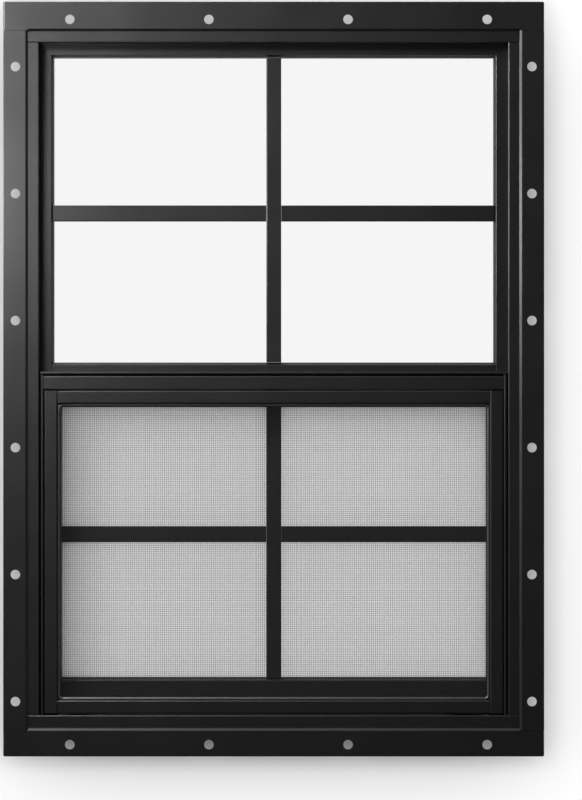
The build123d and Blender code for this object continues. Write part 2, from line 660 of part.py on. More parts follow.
def spline_ring(radius, name):
    """Closed round cord that follows the screen's ledge."""
    span = (right - left, top - bottom)
    with BuildPart() as ring:
        with BuildSketch(front_plane(SPLINE_DEPTH - radius)):
            with Locations(((left + right) / 2, (bottom + top) / 2)):
                RectangleRounded(*[side + 2 * radius for side in span], SPLINE_CORNER_RADIUS + radius)
                RectangleRounded(
                    *[side - 2 * radius for side in span],
                    SPLINE_CORNER_RADIUS - radius,
                    mode=Mode.SUBTRACT,
                )
        extrude(amount=-2 * radius)
        rims = ring.edges().group_by(Axis.Y)
        fillet(rims[0] + rims[-1], radius * CORD_ROUNDNESS)
    ring.part.label = name
    return ring


screen_low = height_of(SCREEN_START["bottom"], "bottom")
screen_high = height_of(SCREEN_START["top"], "top")
ledge_low = height_of(SCREEN_START["bottom"] + SCREEN_BAR + LEDGE_WIDTH, "bottom")
ledge_high = height_of(SCREEN_START["top"] + SCREEN_BAR + LEDGE_WIDTH, "top")
screen_rail_half = WIDTH / 2 - SCREEN_START["left"] - SCREEN_BAR - JOINT_GAP
groove = spline_ring(SPLINE_RADIUS + SPLINE_GROOVE_FIT, "groove")


def screen_section(side, middle=0.0):
    """Hollow screen bar with rounded front edges and a thin ledge toward the mesh."""
    start = SCREEN_START[side]
    face_edge = start + SCREEN_BAR
    with BuildSketch(section_plane(side, middle)) as section:
        rectangle_between(start, SCREEN_FRONT, face_edge, SCREEN_BACK)
        front_corners = section.vertices().group_by(Axis.Y)[0]
        fillet(front_corners, SCREEN_EDGE_RADIUS)
        rectangle_between(
            face_edge - SCREEN_WALL, LEDGE_FRONT, face_edge + LEDGE_WIDTH, LEDGE_FRONT + LEDGE_THICKNESS
        )
        rectangle_between(
            start + SCREEN_WALL,
            SCREEN_FRONT + SCREEN_WALL,
            face_edge - SCREEN_WALL,
            SCREEN_BACK - SCREEN_WALL,
            mode=Mode.SUBTRACT,
        )
    return section.sketch


for side in ("left", "right"):
    with BuildPart() as stile:
        extrude(
            screen_section(side, (screen_low + screen_high) / 2),
            amount=(screen_high - screen_low) / 2,
            both=True,
        )
        clear_inner_side(
            side,
            SCREEN_START[side] + SCREEN_BAR,
            LEDGE_WIDTH,
            SCREEN_FRONT,
            SCREEN_BACK,
            [(screen_low, ledge_low), (ledge_high, screen_high)],
        )
        add(groove.part, mode=Mode.SUBTRACT)
    export(stile, f"screen_{side}_stile")
for side in ("top", "bottom"):
    with BuildPart() as rail:
        extrude(screen_section(side), amount=screen_rail_half, both=True)
        add(groove.part, mode=Mode.SUBTRACT)
    export(rail, f"screen_{side}_rail")
export(spline_ring(SPLINE_RADIUS, "screen_spline"), "screen_spline")
with BuildPart() as mesh:
    with BuildSketch(front_plane(LEDGE_FRONT - MESH_THICKNESS)):
        rectangle_inside(
            offset_inward(spline_line, SPLINE_RADIUS + SPLINE_GROOVE_FIT),
            corner_radius=SPLINE_CORNER_RADIUS - SPLINE_RADIUS,
        )
    extrude(amount=-MESH_THICKNESS)
export(mesh, "screen_mesh")

# Leaf springs that push the screen up from the sill
spring_front = (SCREEN_FRONT + SCREEN_BACK - SPRING_DEPTH) / 2
spring_low = height_of(LIP_EDGE["bottom"], "bottom")
spring_rise = SCREEN_SILL_GAP - SPRING_STRIP - SPRING_FIT
for side, hand in (("left", -1), ("right", 1)):
    half = SPRING_LENGTH / 2
    middle = hand * (WIDTH / 2 - SCREEN_START[side] - SPRING_END_INSET - half)
    with BuildPart() as spring:
        with BuildSketch(front_plane(spring_front)):
            with BuildLine():
                ThreePointArc(
                    (middle - half, spring_low),
                    (middle, spring_low + spring_rise),
                    (middle + half, spring_low),
                )
                Line((middle + half, spring_low), (middle + half, spring_low + SPRING_STRIP))
                ThreePointArc(
                    (middle + half, spring_low + SPRING_STRIP),
                    (middle, spring_low + spring_rise + SPRING_STRIP),
                    (middle - half, spring_low + SPRING_STRIP),
                )
                Line((middle - half, spring_low + SPRING_STRIP), (middle - half, spring_low))
            make_face()
        extrude(amount=-SPRING_DEPTH)
    export(spring, f"{side}_screen_spring")
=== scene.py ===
"""Dresses a black flanged shed window and sets it in a plain studio.

The window is seen from outside, along +Y. Places and lengths are in metres in the row's frame, apart
from those whose names end in _mm.
"""

import json
import logging
from dataclasses import dataclass, field
from enum import Enum
from typing import Sequence

import bpy
import mathutils
import numpy as np
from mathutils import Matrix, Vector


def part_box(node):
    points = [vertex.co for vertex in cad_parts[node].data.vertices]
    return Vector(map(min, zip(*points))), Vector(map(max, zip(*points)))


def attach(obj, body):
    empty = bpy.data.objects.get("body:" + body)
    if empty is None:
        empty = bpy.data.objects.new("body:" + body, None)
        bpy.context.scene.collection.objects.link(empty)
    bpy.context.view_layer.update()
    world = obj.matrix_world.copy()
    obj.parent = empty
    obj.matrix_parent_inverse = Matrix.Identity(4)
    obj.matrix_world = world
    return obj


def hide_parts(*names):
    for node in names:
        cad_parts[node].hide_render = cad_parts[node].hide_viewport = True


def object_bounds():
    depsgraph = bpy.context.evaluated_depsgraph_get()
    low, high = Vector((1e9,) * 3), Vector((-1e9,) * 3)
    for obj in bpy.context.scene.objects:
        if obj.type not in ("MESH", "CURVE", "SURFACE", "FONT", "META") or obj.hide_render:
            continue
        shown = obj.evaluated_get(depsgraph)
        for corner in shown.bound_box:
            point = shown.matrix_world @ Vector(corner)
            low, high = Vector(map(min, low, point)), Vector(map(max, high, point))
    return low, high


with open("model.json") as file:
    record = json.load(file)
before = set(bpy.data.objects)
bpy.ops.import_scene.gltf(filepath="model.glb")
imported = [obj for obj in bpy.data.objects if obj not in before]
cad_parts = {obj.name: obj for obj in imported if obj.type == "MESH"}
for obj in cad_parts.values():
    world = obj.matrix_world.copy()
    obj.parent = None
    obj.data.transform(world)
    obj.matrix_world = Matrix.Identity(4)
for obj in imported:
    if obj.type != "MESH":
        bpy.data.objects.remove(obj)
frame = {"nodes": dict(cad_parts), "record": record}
CAD_BOX = [[float(value) for value in corner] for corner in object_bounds()]

MM = 0.001
# Polyester, vinyl, rubber and acetal all come near it; it is the shader's default too, which metals keep
PLASTIC_IOR = 1.5
log = logging.getLogger("shed_window")


def linear(hex_colour: str) -> tuple[float, float, float, float]:
    """Turn an sRGB hex colour into linear light.

    The curve is the sRGB standard's: a straight foot, and a power of 2.4 above it.

    Args:
        hex_colour: Six hex digits, with or without a leading hash.

    Returns:
        Red, green, blue and an alpha of 1.
    """
    digits = hex_colour.lstrip("#")
    srgb = np.array([int(digits[i : i + 2], 16) / 255 for i in (0, 2, 4)])
    light = np.where(srgb <= 0.04045, srgb / 12.92, ((srgb + 0.055) / 1.055) ** 2.4)
    return (*(float(channel) for channel in light), 1.0)


def add_node(
    tree: bpy.types.NodeTree,
    kind: str,
    settings: dict[str, object] | None = None,
    inputs: dict[str | int, object] | None = None,
) -> bpy.types.Node:
    """Add one shader node with its settings, values and links.

    Args:
        tree: Node tree that gets the node.
        kind: Blender's type name for the node.
        settings: Attributes of the node itself.
        inputs: Value for each input socket, or the output socket that feeds it.

    Returns:
        The new node.
    """
    node = tree.nodes.new(kind)
    for name, value in (settings or {}).items():
        setattr(node, name, value)
    for name, value in (inputs or {}).items():
        if isinstance(value, bpy.types.NodeSocket):
            tree.links.new(value, node.inputs[name])
        else:
            node.inputs[name].default_value = value
    return node


def blank_material(name: str) -> tuple[bpy.types.Material, bpy.types.NodeTree, bpy.types.Node]:
    """Make an empty node material.

    Args:
        name: Name of the material.

    Returns:
        The material, its node tree and its output node.
    """
    material = bpy.data.materials.new(name)
    material.use_nodes = True
    material.node_tree.nodes.clear()
    output = add_node(material.node_tree, "ShaderNodeOutputMaterial")
    return material, material.node_tree, output


@dataclass(frozen=True)
class SatinBlackCoat:
    """Black polyester powder coat on extruded aluminium, sprayed and baked to a satin film.

    The film levels into a very fine ripple, so the eye gets a soft, wide sheen and no sharp reflection.

    Attributes:
        roughness_spread: How far the roughness drifts up and down over a face.
        ripple_spacing_mm: Spacing of the ripple's crests.
        ripple_height_mm: Height of a crest.
        ripple_strength: Share of the ripple's slope that the sheen follows.
        cloud_spacing_mm: Size of the patches in which the roughness drifts.
        cloud_range: Values of their noise between which it goes from one end to the other.
    """

    name: str = "black powder coat on aluminium"
    colour: str = "0b0b0c"
    roughness: float = 0.33
    roughness_spread: float = 0.012
    ripple_spacing_mm: float = 0.9
    ripple_height_mm: float = 0.003
    ripple_strength: float = 0.35
    cloud_spacing_mm: float = 35.0
    cloud_range: tuple[float, float] = (0.3, 0.7)

    def material(self) -> bpy.types.Material:
        """Build the coat: a dark dielectric with a faint ripple and slow changes in roughness.

        Returns:
            The material.
        """
        material, tree, output = blank_material(self.name)
        place = add_node(tree, "ShaderNodeTexCoord").outputs["Object"]
        ripple = add_node(
            tree,
            "ShaderNodeTexNoise",
            inputs={"Vector": place, "Scale": 1 / (self.ripple_spacing_mm * MM), "Detail": 1.0},
        )
        cloud = add_node(
            tree,
            "ShaderNodeTexNoise",
            inputs={"Vector": place, "Scale": 1 / (self.cloud_spacing_mm * MM), "Detail": 2.0},
        )
        drift = add_node(
            tree,
            "ShaderNodeMapRange",
            inputs={
                "Value": cloud.outputs["Fac"],
                "From Min": self.cloud_range[0],
                "From Max": self.cloud_range[1],
                "To Min": self.roughness - self.roughness_spread,
                "To Max": self.roughness + self.roughness_spread,
            },
        )
        bump = add_node(
            tree,
            "ShaderNodeBump",
            inputs={
                "Height": ripple.outputs["Fac"],
                "Strength": self.ripple_strength,
                "Distance": self.ripple_height_mm * MM,
            },
        )
        coat = add_node(
            tree,
            "ShaderNodeBsdfPrincipled",
            inputs={
                "Base Color": linear(self.colour),
                "Roughness": drift.outputs["Result"],
                "IOR": PLASTIC_IOR,
                "Normal": bump.outputs["Normal"],
            },
        )
        tree.links.new(coat.outputs["BSDF"], output.inputs["Surface"])
        return material


@dataclass(frozen=True)
class ClearFloatGlass:
    """Clear float glass, too thin here for the green of its iron to show.

    It set on molten tin, so the eye gets one sharp, even reflection and a view without ripples.
    """

    name: str = "clear float glass"
    colour: str = "fafafa"
    ior: float = 1.52

    def material(self) -> bpy.types.Material:
        """Build the glass: smooth and refracting to the eye, and open to shadow rays.

        Returns:
            The material.
        """
        material, tree, output = blank_material(self.name)
        glass = add_node(
            tree,
            "ShaderNodeBsdfPrincipled",
            inputs={
                "Base Color": linear(self.colour),
                "Roughness": 0.0,
                "IOR": self.ior,
                "Transmission Weight": 1.0,
            },
        )
        open_way = add_node(tree, "ShaderNodeBsdfTransparent", inputs={"Color": linear(self.colour)})
        rays = add_node(tree, "ShaderNodeLightPath")
        surface = add_node(
            tree,
            "ShaderNodeMixShader",
            inputs={
                0: rays.outputs["Is Shadow Ray"],
                1: glass.outputs["BSDF"],
                2: open_way.outputs["BSDF"],
            },
        )
        tree.links.new(surface.outputs["Shader"], output.inputs["Surface"])
        return material


@dataclass(frozen=True)
class PlainFinish:
    """A finish of one colour and one roughness, with the fine grain that its making leaves.

    Attributes:
        specular: Strength of the sheen, where a half is that of a smooth, closed skin.
        grain_spacing_mm: Spacing of the grain's crests.
        grain_height_mm: Height of a crest.
        grain_strength: Share of the grain's slope that the light follows.
    """

    name: str
    colour: str
    roughness: float
    metallic: float = 0.0
    specular: float = 0.5
    grain_spacing_mm: float = 0.6
    grain_height_mm: float = 0.01
    grain_strength: float = 0.5

    def material(self) -> bpy.types.Material:
        """Build the finish with its grain as a small bump.

        Returns:
            The material.
        """
        material, tree, output = blank_material(self.name)
        place = add_node(tree, "ShaderNodeTexCoord").outputs["Object"]
        grain = add_node(
            tree,
            "ShaderNodeTexNoise",
            inputs={"Vector": place, "Scale": 1 / (self.grain_spacing_mm * MM), "Detail": 2.0},
        )
        bump = add_node(
            tree,
            "ShaderNodeBump",
            inputs={
                "Height": grain.outputs["Fac"],
                "Strength": self.grain_strength,
                "Distance": self.grain_height_mm * MM,
            },
        )
        surface = add_node(
            tree,
            "ShaderNodeBsdfPrincipled",
            inputs={
                "Base Color": linear(self.colour),
                "Roughness": self.roughness,
                "Metallic": self.metallic,
                "IOR": PLASTIC_IOR,
                "Specular IOR Level": self.specular,
                "Normal": bump.outputs["Normal"],
            },
        )
        tree.links.new(surface.outputs["BSDF"], output.inputs["Surface"])
        return material


# Extruded EPDM: a dull black, without a clear highlight
GLAZING_RUBBER = PlainFinish("extruded EPDM rubber", "0d0d0d", 0.72)
# Glass-fibre yarn dipped in charcoal vinyl before weaving: dull dark grey, too fine for any sheen
VINYL_YARN = PlainFinish("vinyl-coated glass-fibre yarn", "2f3032", 0.7, specular=0.05)
# Vinyl cord pressed through a die: a skin with more sheen than the rubber, and a lighter colour that is
# partly a painted highlight along its crest
VINYL_CORD = PlainFinish("extruded vinyl cord", "1d1d1e", 0.42)
# Moulded acetal: close to the coat's black with a waxy sheen
ACETAL = PlainFinish("moulded acetal", "121213", 0.38)
# Cold-rolled spring strip: bright but rolled dull
SPRING_STEEL = PlainFinish("rolled spring steel", "a9a8a4", 0.32, metallic=1.0)
# Zinc-plated steel with a clear passivate: bluish white metal
ZINC_PLATE = PlainFinish("zinc-plated steel", "bfc3c8", 0.28, metallic=1.0)


def mesh_from_grid(name: str, points: np.ndarray, faces: np.ndarray) -> bpy.types.Object:
    """Make a mesh object from whole arrays.

    Args:
        name: Name of the object.
        points: Vertex places in metres, one row each.
        faces: Vertex numbers of each four-sided face, one row each.

    Returns:
        The object, linked to the scene at the origin.
    """
    mesh = bpy.data.meshes.new(name)
    corners = faces.shape[1]
    mesh.vertices.add(len(points))
    mesh.vertices.foreach_set("co", points.astype(np.float32).ravel())
    mesh.loops.add(faces.size)
    mesh.loops.foreach_set("vertex_index", faces.astype(np.int32).ravel())
    mesh.polygons.add(len(faces))
    mesh.polygons.foreach_set("loop_start", np.arange(0, faces.size, corners, dtype=np.int32))
    mesh.update(calc_edges=True)
    mesh.validate()
    thing = bpy.data.objects.new(name, mesh)
    bpy.context.scene.collection.objects.link(thing)
    return thing


def tube_faces(tubes: int, rings: int, corners: int) -> np.ndarray:
    """Number the faces of many tubes whose vertices run tube by tube, ring by ring.

    Each face joins corner k of ring j to corner k + 1 and to the same two corners of ring j + 1.

    Args:
        tubes: Number of tubes.
        rings: Rings of vertices in each tube.
        corners: Vertices in each ring.

    Returns:
        Array with four vertex numbers a row.
    """
    tube, ring, corner = np.meshgrid(
        np.arange(tubes), np.arange(rings - 1), np.arange(corners), indexing="ij"
    )
    following = (corner + 1) % corners
    first = (tube * rings + ring) * corners
    near, near_next = first + corner, first + following
    return np.stack([near, near_next, near_next + corners, near + corners], axis=-1).reshape(-1, 4)


class Lie(Enum):
    """Which way a set of screen yarns runs."""

    UPRIGHT = 0
    CROSSWISE = 1


@dataclass
class WovenScreen:
    """Plain-woven insect mesh, held by the screen's spline.

    Attributes:
        upright_pitch_mm: Spacing of the upright yarns, 18 to the inch.
        crosswise_pitch_mm: Spacing of the crosswise yarns, 16 to the inch.
        yarn_width_mm: Width of a coated yarn.
        yarn_thickness: Thickness of a yarn as a share of its width.
        yarn_swing: How far a yarn's centre swings from the mesh's middle, as a share of half its width.
        yarn_corners: Corners of a yarn's section.
        drift_mm: How far a yarn wanders from its even place, as a standard deviation.
        edge_gap_mm: From the flat sheet's edge to the middle of the outermost yarn.
        seed: Start of the random drift.
        finish: What the yarns are made of.
        pieces: The pieces made so far.
    """

    upright_pitch_mm: float = 1.411
    crosswise_pitch_mm: float = 1.588
    yarn_width_mm: float = 0.22
    yarn_thickness: float = 0.8
    yarn_swing: float = 0.9
    yarn_corners: int = 4
    drift_mm: float = 0.07
    edge_gap_mm: float = 0.25
    seed: int = 7
    finish: PlainFinish = VINYL_YARN
    pieces: list[bpy.types.Object] = field(default_factory=list)

    def places(self, low: float, high: float, pitch_mm: float, rng: np.random.Generator) -> np.ndarray:
        """Spread yarns evenly between two edges and let each drift, apart from the outermost.

        Args:
            low: Place of the first yarn.
            high: Place of the last yarn.
            pitch_mm: Spacing that settles how many there are.
            rng: Source of the drift.

        Returns:
            The places of the yarns' middles, in order.
        """
        count = int((high - low) / (pitch_mm * MM))
        even = np.linspace(low, high, count)
        drift = rng.normal(0, self.drift_mm * MM, count)
        drift[[0, -1]] = 0
        return even + drift

    def yarns(
        self, lie: Lie, name: str, along: np.ndarray, across: np.ndarray, first: int, depth: float
    ) -> None:
        """Make one set of yarns.

        A yarn is a flattened tube with one ring at each crossing. Its centre lies nearly half a yarn in
        front of the mesh's middle at one crossing and as far behind it at the next, and the other set
        does the opposite, so each yarn passes over and under the ones that cross it.

        Args:
            lie: Which way the yarns run.
            name: Name of the piece.
            along: Places of the rings along each yarn.
            across: Places of the yarns.
            first: Number of the first yarn, which settles whether it starts over or under.
            depth: Depth of the mesh's middle.
        """
        radius = self.yarn_width_mm * MM / 2
        yarn, ring = np.meshgrid(
            np.arange(first, first + len(across)), np.arange(len(along)), indexing="ij"
        )
        side = np.where((yarn + ring) % 2 == 0, 1.0, -1.0) * (1 if lie is Lie.UPRIGHT else -1)
        centre_depth = depth + side * radius * self.yarn_swing
        angle = np.arange(self.yarn_corners) * 2 * np.pi / self.yarn_corners
        shape = (len(across), len(along), self.yarn_corners)
        spread = np.broadcast_to(across[:, None, None] + radius * np.cos(angle), shape)
        sunk = centre_depth[:, :, None] + radius * self.yarn_thickness * np.sin(angle)
        run = np.broadcast_to(along[None, :, None], shape)
        if lie is Lie.UPRIGHT:
            points = np.stack([spread, sunk, run], axis=-1)
        else:
            points = np.stack([run, sunk, spread], axis=-1)
        faces = tube_faces(*shape)
        if lie is Lie.UPRIGHT:
            faces = faces[:, ::-1]
        piece = mesh_from_grid(name, points.reshape(-1, 3), faces)
        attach(piece, "root")
        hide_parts("screen_mesh")
        self.pieces.append(piece)

    def build(self) -> list[bpy.types.Object]:
        """Weave the mesh over the place of the flat sheet, in four pieces.

        Returns:
            The pieces.
        """
        low, high = (np.array(corner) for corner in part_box("screen_mesh"))
        gap = self.edge_gap_mm * MM
        depth = float(low[1] + high[1]) / 2
        rng = np.random.default_rng(self.seed)
        upright = self.places(low[0] + gap, high[0] - gap, self.upright_pitch_mm, rng)
        crosswise = self.places(low[2] + gap, high[2] - gap, self.crosswise_pitch_mm, rng)
        half = len(upright) // 2
        self.yarns(Lie.UPRIGHT, "mesh_upright_yarns_left", crosswise, upright[:half], 0, depth)
        self.yarns(Lie.UPRIGHT, "mesh_upright_yarns_right", crosswise, upright[half:], half, depth)
        half = len(crosswise) // 2
        self.yarns(Lie.CROSSWISE, "mesh_crosswise_yarns_lower", upright, crosswise[:half], 0, depth)
        self.yarns(Lie.CROSSWISE, "mesh_crosswise_yarns_upper", upright, crosswise[half:], half, depth)
        coated = self.finish.material()
        for piece in self.pieces:
            piece.data.materials.append(coated)
        return self.pieces


@dataclass
class CornerScrews:
    """Pan-head screws through each jamb's web into the head and the sill.

    Attributes:
        head_radius_mm: Radius of a screw's head.
        head_height_mm: Height of its crown above the web.
        rim_height_mm: Height of its straight rim.
        crown: Points from the recess out to the rim, as shares of the head's radius and height.
        recess_radius_mm: Radius of the round recess at its mouth.
        recess_depth_mm: Depth of the recess.
        recess_floor: Radius of its floor, as a share of its mouth's.
        recess_mouth: Height of its mouth, as a share of the head's height.
        recess_easing_mm: Width of the rounding at its mouth.
        axis_gap_mm: Radius of the pinhole left where the profile starts.
        web_gap_mm: From the sliding sash's stile to the outer face of the jamb's web.
        head_place_mm: Distance of the head's screw below the window's top, and its depth.
        sill_places_mm: Height and depth of each of the sill's screws.
        segments: Steps of the turn about a screw's axis.
        finish: What the screws are made of.
    """

    head_radius_mm: float = 3.4
    head_height_mm: float = 2.0
    rim_height_mm: float = 0.12
    crown: Sequence[tuple[float, float]] = ((0.62, 0.96), (0.85, 0.78), (0.97, 0.45))
    recess_radius_mm: float = 1.5
    recess_depth_mm: float = 1.1
    recess_floor: float = 0.7
    recess_mouth: float = 0.97
    recess_easing_mm: float = 0.15
    axis_gap_mm: float = 0.02
    web_gap_mm: float = 3.3
    head_place_mm: tuple[float, float] = (26.0, 5.5)
    sill_places_mm: Sequence[tuple[float, float]] = ((17.0, 5.5), (17.0, 28.0))
    segments: int = 24
    finish: PlainFinish = ZINC_PLATE

    def screw(self, name: str, face_x: float, height: float, depth: float) -> bpy.types.Object:
        """Make one screw head.

        The profile runs from the middle of a round recess out over the crown and down to the web, and
        is turned once about the screw's axis.

        Args:
            name: Name of the piece.
            face_x: Place of the web's outer face.
            height: Place of the screw along Z.
            depth: Place of the screw along Y.

        Returns:
            The piece.
        """
        recess, rim, tall = self.recess_radius_mm, self.head_radius_mm, self.head_height_mm
        floor = tall - self.recess_depth_mm
        profile = np.array(
            [
                (self.axis_gap_mm, floor),
                (recess * self.recess_floor, floor),
                (recess, tall * self.recess_mouth),
                (recess + self.recess_easing_mm, tall),
                *((rim * out, tall * up) for out, up in self.crown),
                (rim, self.rim_height_mm),
                (rim, 0.0),
            ]
        )
        turn = np.arange(self.segments) * 2 * np.pi / self.segments
        radius, rise = profile[:, :1] * MM, profile[:, 1:] * MM
        y = depth + radius * np.cos(turn)
        z = height + radius * np.sin(turn)
        x = face_x + np.sign(face_x) * np.broadcast_to(rise, y.shape)
        points = np.stack([x, y, z], axis=-1).reshape(-1, 3)
        faces = tube_faces(1, len(profile), self.segments)
        piece = mesh_from_grid(name, points, faces if face_x > 0 else faces[:, ::-1])
        piece.data.polygons.foreach_set("use_smooth", np.ones(len(faces), dtype=bool))
        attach(piece, "root")
        return piece

    def build(self) -> list[bpy.types.Object]:
        """Set one screw at each upper corner of the frame and two at each lower one.

        Returns:
            The pieces.
        """
        drop, depth = self.head_place_mm
        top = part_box("head")[1][2] - drop * MM
        places = [("top", top, depth * MM)]
        for end, (height, depth) in zip(("bottom_front", "bottom_rear"), self.sill_places_mm):
            places.append((end, height * MM, depth * MM))
        face = abs(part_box("sliding_sash_left_stile")[0][0]) + self.web_gap_mm * MM
        plated = self.finish.material()
        made = []
        for side, face_x in (("left", -face), ("right", face)):
            for end, height, depth in places:
                made.append(self.screw(f"corner_screw_{side}_{end}", face_x, height, depth))
                made[-1].data.materials.append(plated)
        return made


@dataclass
class FrameDressing:
    """Gives every solid of the window its finish.

    Attributes:
        coat: Finish of the aluminium extrusions.
        glass: Finish of the panes.
        cord: Finish of the spline, which shares its slot with the glazing channels.
    """

    coat: SatinBlackCoat = SatinBlackCoat()
    glass: ClearFloatGlass = ClearFloatGlass()
    cord: PlainFinish = VINYL_CORD

    def apply(self) -> None:
        """Give each node the finish of its slot, and the spline its own."""
        finishes = {
            "frame": self.coat.material(),
            "glass": self.glass.material(),
            "seal": GLAZING_RUBBER.material(),
            "mesh": VINYL_YARN.material(),
            "latch": ACETAL.material(),
            "spring": SPRING_STEEL.material(),
        }
        cord = self.cord.material()
        for part in frame["record"]["subparts"]:
            thing = frame["nodes"][part["node"]]
            thing.data.materials.clear()
            finish = cord if part["node"] == "screen_spline" else finishes[part["material_slot"]]
            thing.data.materials.append(finish)
            log.info("%s: %s", part["node"], thing.data.materials[0].name)


def look_along(place: Sequence[float], target: Sequence[float]) -> mathutils.Euler:
    """Turn that points an object's -Z from one place to another.

    Args:
        place: Where the object stands.
        target: What it faces.

    Returns:
        Euler angles.
    """
    way = mathutils.Vector(target) - mathutils.Vector(place)
    return way.to_track_quat("-Z", "Y").to_euler()


class Reach(Enum):
    """What a soft box lights: dull surfaces, or the sheen on glossy ones."""

    DULL = 0
    SHEEN = 1


@dataclass(frozen=True)
class SoftBox:
    """A soft box that faces a point, with its width level.

    Attributes:
        place: Where it stands.
        target: The point that it faces.
        size: Width and height.
        power: Power in watts.
        reach: What it lights.
    """

    name: str
    place: tuple[float, float, float]
    target: tuple[float, float, float]
    size: tuple[float, float]
    power: float
    reach: Reach

    def build(self, unlit: bpy.types.Collection) -> None:
        """Make the lamp and turn it to its target.

        Args:
            unlit: Collection whose things the lamp leaves alone.
        """
        data = bpy.data.lights.new(self.name, "AREA")
        data.shape = "RECTANGLE"
        data.size, data.size_y = self.size
        data.energy = self.power
        lamp = bpy.data.objects.new(self.name, data)
        bpy.context.scene.collection.objects.link(lamp)
        lamp.location = self.place
        lamp.rotation_euler = look_along(self.place, self.target)
        lamp.visible_camera = False
        lamp.visible_glossy = self.reach is Reach.SHEEN
        lamp.visible_diffuse = self.reach is Reach.DULL
        lamp.visible_transmission = False
        lamp.light_linking.receiver_collection = unlit


MATH = "ShaderNodeMath"
ADD = {"operation": "ADD"}
SUBTRACT = {"operation": "SUBTRACT"}
MULTIPLY = {"operation": "MULTIPLY"}
LARGER = {"operation": "MAXIMUM"}
WITHIN = {"operation": "COMPARE"}


@dataclass(frozen=True)
class Fade:
    """A smooth change along one axis, from one value to another.

    It keeps the first value up to the span, follows an S-shaped curve across it and keeps the second
    beyond it.

    Attributes:
        axis: X, Y or Z.
        span: Where on the axis the change starts and ends.
        values: The first value and the second.
    """

    axis: str
    span: tuple[float, float]
    values: tuple[float, float]

    def at(self, tree: bpy.types.NodeTree, place: bpy.types.Node) -> bpy.types.NodeSocket:
        """Work out the value at a place.

        Args:
            tree: Node tree that holds the place.
            place: Node that gives the place, axis by axis.

        Returns:
            The socket of the value.
        """
        inputs = {
            "Value": place.outputs[self.axis],
            "From Min": self.span[0],
            "From Max": self.span[1],
            "To Min": self.values[0],
            "To Max": self.values[1],
        }
        smooth = {"interpolation_type": "SMOOTHSTEP"}
        return add_node(tree, "ShaderNodeMapRange", smooth, inputs).outputs["Result"]


